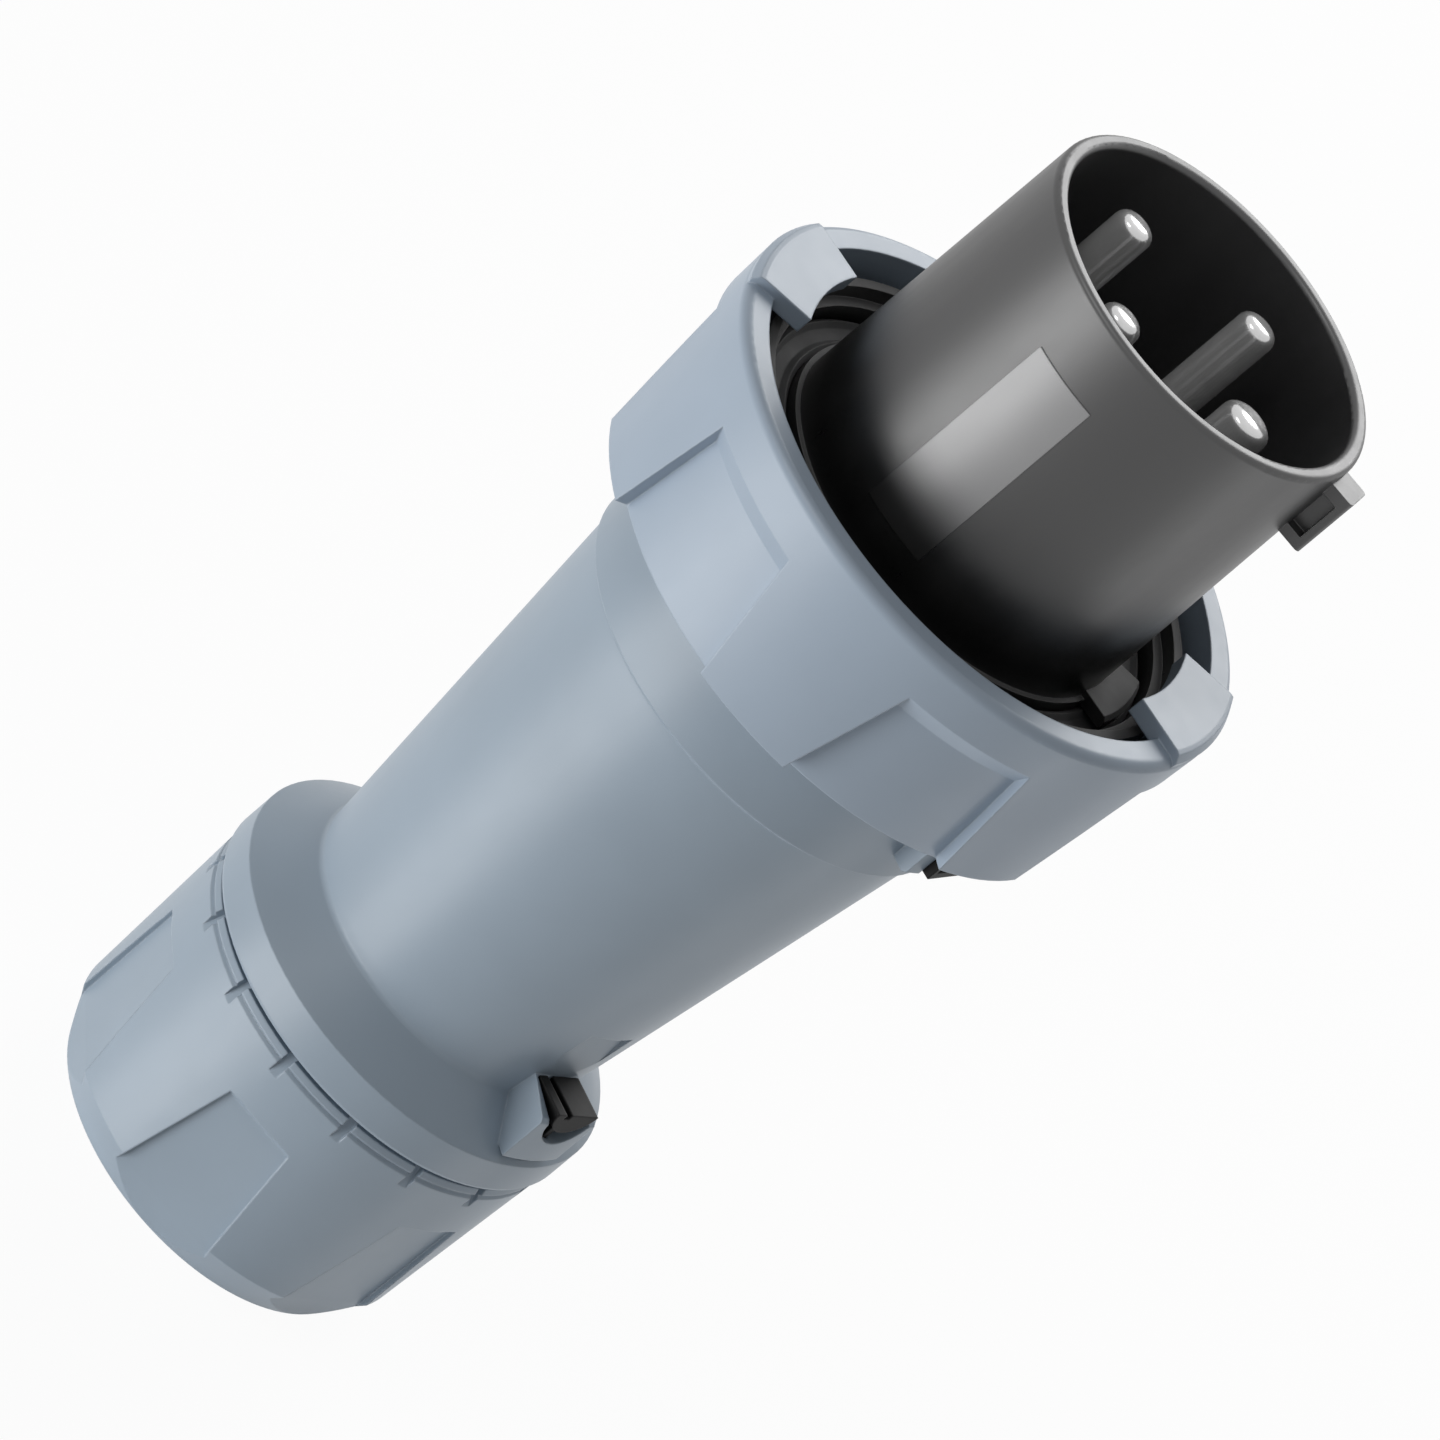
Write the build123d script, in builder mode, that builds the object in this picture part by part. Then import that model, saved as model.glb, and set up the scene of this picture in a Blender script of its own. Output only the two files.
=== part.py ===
from build123d import *
from math import cos, radians, sin, tan
import os

# An industrial power plug, standing on the flat rear face of its gland nut.
# Sizes are in millimetres. z = 0 is the rear face of the nut and +Z runs to the mouth of the
# shroud. The key of the shroud lies on +X, and angles turn about +Z from there.

# Overall
plug_length = 252.0
fit_gap = 0.1
running_gap = 0.3

# Shroud of the contact insert
shroud_radius = 35.5
shroud_draft = 0.5
shroud_wall = 3.0
shroud_depth = 64.0
rim_rounding = 1.1
key_setback = 2.8
key_length = 13.2
key_width = 7.2
key_height = 4.8
key_rail = 1.7
key_mouth_wall = 2.5
key_rear_wall = 2.2
key_web = 2.2
key_root = 1.0
base_step = 1.0
base_step_depth = 62.4
base_block_reach = 5.2
base_block_height = 2.6
base_block_rounding = 0.8
base_block_angles = (-11, 14)

# Flange of the contact insert, with its seal groove and the ledges beside it
seal_groove_width = 6.6
seal_groove_depth = 7.0
cup_setback = 58.0
cup_wall = 1.9
ledge_drop = 3.0
ledge_width = 2.0
flange_thickness = 6.0
seal_height = 4.2
seal_lip = 0.9

# Body of the insert inside the handle
hub_step = 0.8
land_step = 1.0
hub_length = 19.2
hub_skirt_wall = 4.8
hub_floor_thickness = 22.0
ring_groove_depth = 1.6
o_ring_section = 1.66
o_ring_height = 3.0
o_ring_setback = 1.6
groove_spacing = 2.0
latch_groove_height = 4.0
latch_notch_height = 4.4

# Contact pins
pin_circle_radius = 20.0
phase_pin_radius = 4.0
earth_pin_radius = 5.0
pin_setback = 4.7
pin_tip_rounding = 1.7
pin_shank_step = 0.5
earth_angle = -23
phase_angles = {"pin_l1": 67, "pin_l2": 157, "pin_l3": 247}
pin_bore_gap = 0.12
pin_collar_step = 1.0
pin_collar_height = 7.8
wire_bore_radius = 4.6
wire_bore_depth = 24.0
barrel_wall = 1.9
barrel_length = 32.0
terminal_screw_setback = 5.0
terminal_screw_spacing = 8.5
terminal_thread_radius = 2.4
terminal_head_radius = 3.4
terminal_head_height = 2.6
terminal_head_standoff = 0.5
wire_clamp_thickness = 0.9
wire_clamp_length = 18.0
wire_clamp_angle = 100

# Terminal carrier, behind the insert
carrier_plate_thickness = 4.7
carrier_wall_thickness = 2.2
carrier_wall_length = 29.0
carrier_screw_radius = 2.5
carrier_screw_length = 14.0
carrier_screw_head_radius = 4.5
carrier_screw_head_height = 4.0
carrier_core_gap = 0.7

# Coupling ring
ring_setback = 54.1
ring_length = 35.7
ring_clearance = 3.0
ring_wall = 5.4
ring_rear_clearance = 1.5
ring_rear_wall = 5.5
ring_rounding = 1.8
ring_shoulder_thickness = 5.6
shoulder_play = 0.3
ring_turn = 2
ring_swing = 45
tab_overlap = 3.9
tab_rise = 1.8
tab_thickness = 3.5
tab_half_angle = 15.4
ring_grip_count = 6
ring_grip_setback = 8.5
ring_grip_depth = 2.7
ring_grip_ramp = 4.4
ring_grip_draft = 12
ring_grip_front_half_angle = 13.2
ring_grip_rear_half_angle = 18.6
stop_half_angle = 5
stop_height = 1.7
stop_width = 3.0
stop_margin_angle = 1.5
washer_thickness = 0.8
washer_inset = 0.5

# Gland bores, from the cable outwards
cable_bore = 16.0
cage_clearance = 5.0
finger_wall = 2.6
mouth_clearance = 0.8
thrust_ring_step = 1.0
reducer_wall = 6.0
seal_wall = 8.0
neck_step = 2.5
neck_wall = 2.6

# Handle shell
handle_flange_inset = 0.2
handle_flange_thickness = 4.7
handle_front_wall = 1.8
handle_rear_wall = 3.2
handle_wall = 3.0
collar_step = 1.1
ridge_setback = 19.4
cone_step = 0.7
cone_length = 8.0
cone_band = 7.4
nut_slot = 1.2
neck_end = 14.0
seal_pocket_depth = 18.0

# Lock slides and the lugs that guide them
front_lug_turn = -18
front_lug_half_angle = 11
front_lug_inset = 2.5
front_lug_length = 21.5
rear_lug_turn = -26.5
rear_lug_half_angle = 10.5
rear_lug_setback = 2.1
rear_lug_length = 15.2
rear_lug_slope = 2.5
slide_gap = 0.25
front_slide_width = 9.6
front_slide_travel = 4.0
front_slide_length = 8.0
slide_end_play = 0.4
front_channel_depth = 3.2
front_thumb_height = 1.4
front_arm_thickness = 1.8
front_leg_height = 3.2
front_leg_width = 6.0
rear_slide_width = 10.6
rear_slide_travel = 2.5
rear_slide_length = 4.9
rear_slide_setback = 9.9
rear_slide_sink = 0.5
rear_channel_depth = 8.8
rear_groove_offset = 2.4
rear_groove_width = 1.5
rear_groove_depth = 1.1
tongue_turn = -28
tongue_width = 1.3
tongue_thickness = 1.0
tongue_setback = 1.8

# Gland nut and the parts that it clamps
nut_length = 46.2
nut_front_wall = 6.7
nut_taper = 1.6
nut_end_step = 3.8
nut_chamfer = 7.1
nut_thread_gap = 0.3
nut_floor = 8.0
nut_shoulder_step = 1.0
nut_mouth_length = 5.0
nut_grip_count = 6
nut_grip_setback = 13.2
nut_grip_ramp = 1.3
nut_grip_depth = 1.7
nut_grip_rear_depth = 3.0
nut_grip_end = 5.8
nut_grip_front_half_angle = 11.2
nut_grip_rear_half_angle = 18.8
nut_turn = -28
notch_count = 16
notch_width = 1.9
notch_depth = 2.2
notch_length = 5.3
line_setback = 1.9
line_groove = 0.6
thrust_ring_thickness = 2.6
thrust_ring_gap = 0.5
cage_base_height = 5.2
finger_count = 12
finger_slot = 2.4
finger_end = 1.5
seal_chamfer = 2.5

# Heights worked out from the sizes above
mouth_z = plug_length
shroud_floor_z = mouth_z - shroud_depth
base_step_z = mouth_z - base_step_depth
cup_z = mouth_z - cup_setback
ledge_z = cup_z - ledge_drop
seal_floor_z = ledge_z - seal_groove_depth
flange_z = seal_floor_z - flange_thickness
shoulder_top_z = flange_z - shoulder_play
shoulder_z = shoulder_top_z - ring_shoulder_thickness
washer_z = shoulder_z - fit_gap - washer_thickness
handle_front_z = washer_z
hub_rear_z = handle_front_z - hub_length
insert_back_z = shroud_floor_z - hub_floor_thickness
pin_tip_z = mouth_z - pin_setback
collar_back_z = insert_back_z + fit_gap
barrel_rear_z = collar_back_z - barrel_length
carrier_top_z = insert_back_z
ring_front_z = mouth_z - ring_setback
ring_rear_z = ring_front_z - ring_length
ridge_z = ring_rear_z - ridge_setback
neck_top_z = nut_length + nut_slot
cone_rear_z = neck_top_z + cone_band
cone_front_z = cone_rear_z + cone_length
seal_pocket_z = neck_end + seal_pocket_depth
thrust_ring_top_z = nut_floor + fit_gap + thrust_ring_thickness
cage_z = thrust_ring_top_z + fit_gap
cage_top_z = cage_z + cage_base_height

# Radii worked out from the sizes above
shroud_base_radius = shroud_radius + shroud_draft
shroud_bore_radius = shroud_radius - shroud_wall
base_step_radius = shroud_base_radius + base_step
base_block_radius = base_step_radius + base_block_reach
groove_outer_radius = base_step_radius + seal_groove_width
flange_radius = groove_outer_radius + ledge_width + cup_wall
hub_radius = base_step_radius + hub_step
land_radius = hub_radius + land_step
latch_groove_radius = hub_radius - ring_groove_depth
carrier_radius = hub_radius - hub_skirt_wall - fit_gap
barrel_radius = wire_bore_radius + barrel_wall
pin_collar_radius = barrel_radius + pin_collar_step
carrier_core_radius = carrier_screw_head_radius + carrier_core_gap
ring_bore_radius = flange_radius + ring_clearance
ring_radius = ring_bore_radius + ring_wall
tab_radius = flange_radius - tab_overlap
handle_flange_radius = flange_radius - handle_flange_inset
ring_rear_bore_radius = handle_flange_radius + ring_rear_clearance
ring_rear_radius = ring_rear_bore_radius + ring_rear_wall
handle_bore_radius = hub_radius + fit_gap
handle_front_radius = hub_radius + handle_front_wall
cage_bore_radius = cable_bore + cage_clearance
finger_radius = cage_bore_radius + finger_wall
nut_mouth_radius = finger_radius + mouth_clearance
thrust_ring_bore = nut_mouth_radius + thrust_ring_step
gland_seal_bore = cable_bore + reducer_wall
seal_pocket_radius = gland_seal_bore + seal_wall
neck_bore_radius = seal_pocket_radius - neck_step
neck_radius = seal_pocket_radius + neck_wall
handle_rear_radius = neck_bore_radius + handle_rear_wall
nut_thread_radius = neck_radius + nut_thread_gap
nut_shoulder_radius = seal_pocket_radius + nut_shoulder_step
nut_front_radius = nut_thread_radius + nut_front_wall
nut_rear_radius = nut_front_radius - nut_taper
nut_end_radius = nut_rear_radius - nut_end_step
cone_radius = nut_front_radius + cone_step

# Places of the lock slides, worked out from the sizes above
front_lug_radius = handle_flange_radius - front_lug_inset
front_lug_z = handle_front_z - front_lug_length
o_ring_groove_z = hub_rear_z + o_ring_setback
latch_groove_z = o_ring_groove_z + o_ring_height + groove_spacing
latch_notch_z = latch_groove_z + latch_groove_height
front_channel_floor = front_lug_radius - front_channel_depth
front_arm_top_z = latch_notch_z + latch_notch_height - slide_end_play - slide_gap
front_slide_z = front_lug_z + 1.5
rear_slide_z = cone_rear_z + rear_slide_setback
rear_channel_floor = cone_radius - rear_channel_depth
tongue_radius = cone_radius - tongue_setback


def radial_plane(angle):
    """A plane through the axis: its x runs outward at the angle and its y runs along +Z."""
    turn = radians(angle)
    return Plane(origin=(0, 0, 0), x_dir=(cos(turn), sin(turn), 0), z_dir=(sin(turn), -cos(turn), 0))


def tangent_plane(angle, radius, height):
    """A plane square to the radius at the angle: its x runs round the axis and its y along +Z."""
    turn = radians(angle)
    centre = (radius * cos(turn), radius * sin(turn), height)
    return Plane(origin=centre, x_dir=(-sin(turn), cos(turn), 0), z_dir=(cos(turn), sin(turn), 0))


def on_circle(radius, angle):
    """A point at the angle on a circle round the axis."""
    return radius * cos(radians(angle)), radius * sin(radians(angle))


def turned(points):
    """A solid of revolution round the axis from a closed outline of (radius, height) points."""
    with BuildPart() as body:
        with BuildSketch(Plane.XZ):
            with BuildLine():
                Polyline(*points, close=True)
            make_face()
        revolve(axis=Axis.Z)
    return body.part


def sector(points, angle, half_angle):
    """A stretch of a solid of revolution, centred on an angle."""
    with BuildPart() as body:
        with BuildSketch(radial_plane(angle - half_angle)):
            with BuildLine():
                Polyline(*points, close=True)
            make_face()
        revolve(axis=Axis.Z, revolution_arc=2 * half_angle)
    return body.part


def radius_at(height, low, low_radius, high, high_radius):
    """The radius of a straight taper at a height."""
    return low_radius + (high_radius - low_radius) * (height - low) / (high - low)


def finish(body, name):
    """Label a finished piece and write it out."""
    body.label = name
    export_step(body, f"parts/{name}.step")


# Contact insert: shroud, key, flange and hub moulded as one piece
def make_contact_insert():
    outline = [
        (0, insert_back_z),
        (hub_radius - hub_skirt_wall, insert_back_z),
        (hub_radius - hub_skirt_wall, hub_rear_z),
        (hub_radius, hub_rear_z),
        (hub_radius, o_ring_groove_z),
        (latch_groove_radius, o_ring_groove_z),
        (latch_groove_radius, o_ring_groove_z + o_ring_height),
        (hub_radius, o_ring_groove_z + o_ring_height),
        (hub_radius, latch_groove_z),
        (latch_groove_radius, latch_groove_z),
        (latch_groove_radius, latch_notch_z),
        (hub_radius, latch_notch_z),
        (hub_radius, handle_front_z),
        (land_radius, handle_front_z),
        (land_radius, flange_z),
        (flange_radius, flange_z),
        (flange_radius, cup_z),
        (flange_radius - cup_wall, cup_z),
        (flange_radius - cup_wall, ledge_z),
        (groove_outer_radius, ledge_z),
        (groove_outer_radius, seal_floor_z),
        (base_step_radius, seal_floor_z),
        (base_step_radius, base_step_z),
        (shroud_base_radius, base_step_z),
        (shroud_radius, mouth_z),
        (shroud_bore_radius, mouth_z),
        (shroud_bore_radius, shroud_floor_z),
        (0, shroud_floor_z),
    ]
    with BuildPart() as insert:
        with BuildSketch(Plane.XZ) as section:
            with BuildLine():
                Polyline(*outline, close=True)
            make_face()
            fillet(section.vertices().group_by(Axis.Y)[-1], radius=rim_rounding)
        revolve(axis=Axis.Z)
        # Key on the outside of the shroud, with a sunk panel in each flank
        key_rear_z = mouth_z - key_setback - key_length
        key_inner = shroud_radius - key_root
        key_reach = shroud_radius + key_height
        panel_height = key_length - key_mouth_wall - key_rear_wall
        panel_depth = (key_width - key_web) / 2
        panel_length = key_reach - key_rail - key_inner
        with BuildPart(mode=Mode.PRIVATE) as key:
            with BuildSketch(Plane.XY.offset(key_rear_z)):
                with Locations(((key_inner + key_reach) / 2, 0)):
                    Rectangle(key_reach - key_inner, key_width)
            extrude(amount=key_length)
            fillet(key.edges().filter_by(Axis.Z).group_by(Axis.X)[-1], radius=0.9)
            for side in (-1, 1):
                panel_y = side * (key_web + panel_depth) / 2
                panel_z = key_rear_z + key_rear_wall + panel_height / 2
                with Locations((key_inner + panel_length / 2, panel_y, panel_z)):
                    Box(panel_length, panel_depth, panel_height, mode=Mode.SUBTRACT)
        add(key.part)
        # Block over the seal in line with the key
        block_start, block_end = base_block_angles
        block_outline = [
            (shroud_base_radius - 1, ledge_z - base_block_height),
            (base_block_radius, ledge_z - base_block_height),
            (base_block_radius, ledge_z - base_block_rounding),
            (base_block_radius - base_block_rounding, ledge_z),
            (shroud_base_radius - 1, ledge_z),
        ]
        add(sector(block_outline, (block_start + block_end) / 2, (block_end - block_start) / 2))
        # Bores for the contact pins, each with a seat for the pin's collar
        pins = [(angle, phase_pin_radius) for angle in phase_angles.values()]
        pins.append((earth_angle, earth_pin_radius))
        for angle, radius in pins:
            with Locations((*on_circle(pin_circle_radius, angle), insert_back_z)):
                Cylinder(
                    radius + pin_shank_step + pin_bore_gap,
                    hub_floor_thickness,
                    align=(Align.CENTER, Align.CENTER, Align.MIN),
                    mode=Mode.SUBTRACT,
                )
                Cylinder(
                    pin_collar_radius + fit_gap,
                    pin_collar_height + 2 * fit_gap,
                    align=(Align.CENTER, Align.CENTER, Align.MIN),
                    mode=Mode.SUBTRACT,
                )
        # Blind hole for the carrier screw
        with Locations((0, 0, insert_back_z)):
            Cylinder(
                carrier_screw_radius + fit_gap / 2,
                carrier_screw_length - carrier_plate_thickness + 1,
                align=(Align.CENTER, Align.CENTER, Align.MIN),
                mode=Mode.SUBTRACT,
            )
        # Notch that the front lock slide drops into
        with BuildSketch(tangent_plane(front_lug_turn, hub_radius + 1, latch_notch_z)):
            Rectangle(front_leg_width + 2 * running_gap, 2 * latch_notch_height)
        extrude(amount=-(ring_groove_depth + 1), mode=Mode.SUBTRACT)
        # Arc grooves in the flange, where the stops of the coupling ring run
        for half_turn in (0, 180):
            swing = ring_swing + 2 * (stop_half_angle + stop_margin_angle)
            start = ring_turn + 90 + half_turn - stop_half_angle - stop_margin_angle
            groove = [
                (tab_radius - fit_gap - 0.4, flange_z - 1),
                (tab_radius + stop_width, flange_z - 1),
                (tab_radius + stop_width, flange_z + stop_height + 0.2),
                (tab_radius - fit_gap - 0.4, flange_z + stop_height + 0.2),
            ]
            add(sector(groove, start + swing / 2, swing / 2), mode=Mode.SUBTRACT)
    return insert.part


# Face seal in the groove round the foot of the shroud, with two raised lips
def make_face_seal():
    inner = base_step_radius + fit_gap
    outer = groove_outer_radius - fit_gap
    bottom = seal_floor_z + fit_gap / 2
    top = seal_floor_z + seal_height
    middle = (inner + outer) / 2
    outline = [
        (inner, bottom),
        (outer, bottom),
        (outer, top - seal_lip),
        (outer - 1, top),
        (outer - 2, top - seal_lip),
        (middle, top - seal_lip),
        (inner + 2, top - seal_lip),
        (inner + 1, top),
        (inner, top - seal_lip),
    ]
    return turned(outline)


# Contact pins: turned shaft, collar and a drilled terminal barrel in one piece
def make_pin(angle, radius):
    centre = on_circle(pin_circle_radius, angle)
    with BuildPart() as pin:
        with BuildSketch(Plane.XY.offset(collar_back_z)):
            with Locations(centre):
                Circle(radius)
        extrude(amount=pin_tip_z - collar_back_z)
        fillet(pin.edges().group_by(Axis.Z)[-1], radius=pin_tip_rounding)
        # Thicker shank that fills the bore of the insert up to its floor
        with BuildSketch(Plane.XY.offset(collar_back_z)):
            with Locations(centre):
                Circle(radius + pin_shank_step)
        extrude(amount=shroud_floor_z - collar_back_z)
        with BuildSketch(Plane.XY.offset(collar_back_z)):
            with Locations(centre):
                Circle(pin_collar_radius)
        extrude(amount=pin_collar_height)
        with BuildSketch(Plane.XY.offset(barrel_rear_z)):
            with Locations(centre):
                Circle(barrel_radius)
        extrude(amount=barrel_length)
        chamfer(pin.edges().group_by(Axis.Z)[0], length=0.6)
        with Locations((*centre, barrel_rear_z)):
            Cylinder(
                wire_bore_radius,
                wire_bore_depth,
                align=(Align.CENTER, Align.CENTER, Align.MIN),
                mode=Mode.SUBTRACT,
            )
        # Threaded cross holes for the terminal screws, on the outward side
        for height in (terminal_screw_setback, terminal_screw_setback + terminal_screw_spacing):
            plane = tangent_plane(angle, pin_circle_radius + barrel_radius + 1, barrel_rear_z + height)
            with BuildSketch(plane):
                Circle(terminal_thread_radius + fit_gap / 2)
            extrude(amount=-(barrel_radius - wire_bore_radius + 2.4), mode=Mode.SUBTRACT)
    return pin.part


# Terminal screws: slotted cheese heads, two to each pin
def make_terminal_screws():
    screws = []
    head_base = pin_circle_radius + barrel_radius + terminal_head_standoff
    shank_tip = pin_circle_radius + wire_bore_radius
    for angle in [*phase_angles.values(), earth_angle]:
        for height in (terminal_screw_setback, terminal_screw_setback + terminal_screw_spacing):
            plane = tangent_plane(angle, head_base, barrel_rear_z + height)
            with BuildPart() as screw:
                with BuildSketch(plane):
                    Circle(terminal_head_radius)
                extrude(amount=terminal_head_height)
                with BuildSketch(plane):
                    Circle(terminal_thread_radius)
                extrude(amount=-(head_base - shank_tip))
                with BuildSketch(plane.offset(terminal_head_height)):
                    Rectangle(2 * terminal_head_radius, 0.9)
                extrude(amount=-1.1, mode=Mode.SUBTRACT)
            screws.append(screw.part)
    return Compound(children=screws)


# Wire clamps: curved plates that the terminal screws press on the conductors
def make_wire_clamps():
    clamps = []
    outer = wire_bore_radius - 0.12
    inner = outer - wire_clamp_thickness
    bottom = barrel_rear_z + 0.4
    for angle in [*phase_angles.values(), earth_angle]:
        with BuildPart() as clamp:
            with BuildSketch(Plane.XY.offset(bottom)):
                with BuildLine():
                    centre = on_circle(pin_circle_radius, angle)
                    start = angle - wire_clamp_angle / 2
                    wide = CenterArc(centre, outer, start, wire_clamp_angle)
                    tight = CenterArc(centre, inner, start, wire_clamp_angle)
                    Line(wide @ 0, tight @ 0)
                    Line(wide @ 1, tight @ 1)
                make_face()
            extrude(amount=wire_clamp_length)
        clamps.append(clamp.part)
    return Compound(children=clamps)


# Terminal carrier: plate that holds the pin collars, with walls between the terminals
def make_terminal_carrier():
    plate_z = carrier_top_z - fit_gap - carrier_plate_thickness
    wall_z = plate_z - carrier_wall_length
    with BuildPart() as carrier:
        with BuildSketch(Plane.XY.offset(plate_z)):
            Circle(carrier_radius)
            for angle in [*phase_angles.values(), earth_angle]:
                with Locations(on_circle(pin_circle_radius, angle)):
                    Circle(barrel_radius + fit_gap, mode=Mode.SUBTRACT)
        extrude(amount=carrier_plate_thickness)
        # Four walls meet in a core that is open for the screw
        with BuildSketch(Plane.XY.offset(wall_z)):
            Circle(carrier_core_radius + carrier_wall_thickness)
            with PolarLocations(carrier_radius / 2, 4, start_angle=earth_angle + 45):
                Rectangle(carrier_radius - 2, carrier_wall_thickness)
            Circle(carrier_core_radius, mode=Mode.SUBTRACT)
        extrude(amount=carrier_wall_length)
        with Locations((0, 0, plate_z)):
            Cylinder(
                carrier_screw_radius + fit_gap / 2,
                carrier_plate_thickness,
                align=(Align.CENTER, Align.CENTER, Align.MIN),
                mode=Mode.SUBTRACT,
            )
    return carrier.part


# Carrier screw: cap screw with a hexagon socket
def make_carrier_screw():
    head_top_z = carrier_top_z - 2 * fit_gap - carrier_plate_thickness
    with BuildPart() as screw:
        with BuildSketch(Plane.XY.offset(head_top_z - carrier_screw_head_height)):
            Circle(carrier_screw_head_radius)
        extrude(amount=carrier_screw_head_height)
        with BuildSketch(Plane.XY.offset(head_top_z)):
            Circle(carrier_screw_radius)
        extrude(amount=carrier_screw_length)
        with BuildSketch(Plane.XY.offset(head_top_z - carrier_screw_head_height)):
            RegularPolygon(2.3, 6)
        extrude(amount=2.4, mode=Mode.SUBTRACT)
    return screw.part


# O-ring between the hub and the handle shell
def make_body_o_ring():
    radius = o_ring_section / 2
    with BuildPart() as o_ring:
        with BuildSketch(Plane.XZ):
            with Locations((latch_groove_radius + radius + 0.02, o_ring_groove_z + o_ring_height / 2)):
                Circle(radius)
        revolve(axis=Axis.Z)
    return o_ring.part


# Coupling ring: tapered ring with six grip pockets and two bayonet tabs over its rim
def make_ring_grip_cutter():
    front_z = ring_front_z - ring_grip_setback
    floor_front = ring_radius - ring_grip_depth
    floor_rear = ring_rear_radius - ring_grip_depth
    plane_x = floor_rear - ring_grip_depth
    draft_inset = (ring_rear_radius - plane_x) * tan(radians(ring_grip_draft)) / 2
    front_half = ring_radius * sin(radians(ring_grip_front_half_angle)) - draft_inset
    rear_half = ring_radius * sin(radians(ring_grip_rear_half_angle)) - draft_inset
    core = [
        (0, ring_rear_z - 2 * ring_grip_depth),
        (floor_rear, ring_rear_z - 2 * ring_grip_depth),
        (floor_rear, ring_rear_z),
        (floor_front, front_z - ring_grip_ramp),
        (ring_radius, front_z),
        (ring_radius, front_z + 2 * ring_grip_depth),
        (0, front_z + 2 * ring_grip_depth),
    ]
    with BuildPart() as cutter:
        with BuildSketch(Plane.YZ.offset(plane_x)):
            with BuildLine():
                Polyline(
                    (-front_half, front_z + 1),
                    (front_half, front_z + 1),
                    (rear_half, ring_rear_z - 1),
                    (-rear_half, ring_rear_z - 1),
                    close=True,
                )
            make_face()
        extrude(amount=ring_radius + 1 - plane_x, taper=-ring_grip_draft)
        add(turned(core), mode=Mode.SUBTRACT)
    return cutter.part


def make_coupling_ring():
    body = [
        (ring_rear_bore_radius, ring_rear_z),
        (ring_rear_radius, ring_rear_z),
        (ring_radius, ring_front_z),
        (ring_bore_radius, ring_front_z),
        (ring_bore_radius, shoulder_top_z),
        (land_radius + fit_gap, shoulder_top_z),
        (land_radius + fit_gap, shoulder_z),
        (ring_rear_bore_radius, shoulder_z),
    ]
    tab = [
        (tab_radius, ring_front_z + tab_rise - tab_thickness),
        (ring_bore_radius + 1, ring_front_z + tab_rise - tab_thickness),
        (ring_radius - 0.3, ring_front_z - 2),
        (ring_radius, ring_front_z + tab_rise - ring_rounding),
        (ring_radius - 0.5 * ring_rounding, ring_front_z + tab_rise - 0.15 * ring_rounding),
        (ring_radius - ring_rounding, ring_front_z + tab_rise),
        (tab_radius, ring_front_z + tab_rise),
    ]
    stop = [
        (tab_radius, shoulder_top_z - 1),
        (tab_radius + stop_width - 0.4, shoulder_top_z - 1),
        (tab_radius + stop_width - 0.4, shoulder_top_z + stop_height),
        (tab_radius, shoulder_top_z + stop_height),
    ]
    grip_cutter = make_ring_grip_cutter()
    with BuildPart() as ring:
        with BuildSketch(Plane.XZ) as section:
            with BuildLine():
                Polyline(*body, close=True)
            make_face()
            front_corners = section.vertices().group_by(Axis.Y)[-1].sort_by(Axis.X)
            fillet(front_corners[-1], radius=ring_rounding)
        revolve(axis=Axis.Z)
        with PolarLocations(0, ring_grip_count, start_angle=ring_turn):
            add(grip_cutter, mode=Mode.SUBTRACT)
        for half_turn in (0, 180):
            add(sector(tab, ring_turn + half_turn, tab_half_angle))
            add(sector(stop, ring_turn + 90 + half_turn, stop_half_angle))
    return ring.part


# Slide washer between the ring's shoulder and the handle
def make_slide_washer():
    bottom = washer_z + fit_gap / 2
    outline = [
        (land_radius + fit_gap, bottom),
        (handle_flange_radius - washer_inset, bottom),
        (handle_flange_radius - washer_inset, bottom + washer_thickness),
        (land_radius + fit_gap, bottom + washer_thickness),
    ]
    return turned(outline)


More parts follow.
